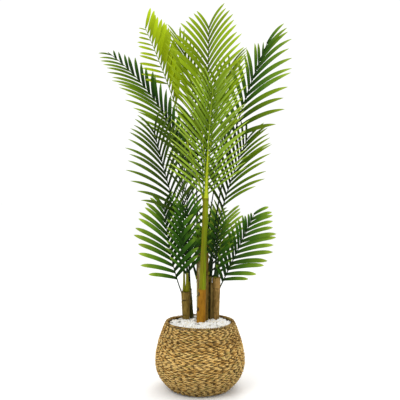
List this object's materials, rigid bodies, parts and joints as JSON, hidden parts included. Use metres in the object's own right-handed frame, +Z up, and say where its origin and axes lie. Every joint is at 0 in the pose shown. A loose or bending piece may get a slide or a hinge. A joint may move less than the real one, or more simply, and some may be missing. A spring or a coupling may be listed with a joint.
{
  "type": "artificial areca palm in a seagrass basket",
  "caption": "Tall artificial areca palm: slender canes and feathered fronds rise out of white pebbles in a round, belly-shaped woven basket.",
  "frame": {"origin": "middle of the basket's flat underside", "axes": "+Z up along the plant, +X to the right and -Y towards the side shown to the room"},
  "size_m": [0.7932, 0.5401, 1.601],
  "materials": {
    "seagrass": "twisted dry seagrass cords, matt golden tan with brown and greenish strands",
    "filling": "rough dark filling",
    "pebble": "matt white pebbles with a few grey ones",
    "cane_bark": "fibrous brown husk with ring scars",
    "sheath": "smooth satin yellow-green leaf sheath",
    "leaf_light": "satin printed leaf cloth, lime green",
    "leaf_mid": "satin printed leaf cloth, middle green",
    "leaf_dark": "satin printed leaf cloth, dark green with lighter tips"
  },
  "bodies": {
    "root": {"basket": "seagrass", "pot_filling": "filling", "pebble_bed": "pebble", "crownshaft": "sheath", "cane_front": "cane_bark", "cane_mid_left": "cane_bark", "cane_mid_right": "cane_bark", "cane_left": "cane_bark", "cane_left_back": "cane_bark", "cane_right": "cane_bark", "cane_right_back": "cane_bark", "frond_front": "leaf_mid", "frond_top_left": "leaf_light", "frond_top_inner_left": "leaf_light", "frond_top_inner_right": "leaf_light", "frond_top": "leaf_light", "frond_upper_left": "leaf_dark", "frond_upper_right": "leaf_mid", "frond_mid_left": "leaf_dark", "frond_mid_right": "leaf_dark", "frond_mid_inner_left": "leaf_dark", "frond_low_left": "leaf_dark", "frond_low_inner_left": "leaf_dark", "frond_low_back_left": "leaf_dark", "frond_low_right": "leaf_dark", "frond_low_inner_right": "leaf_dark", "frond_low_back_right": "leaf_dark", "frond_back_top": "leaf_mid", "frond_back_left": "leaf_dark", "frond_back_right": "leaf_dark", "frond_back_high": "leaf_dark", "frond_back_low": "leaf_dark"}
  },
  "joints": []
}
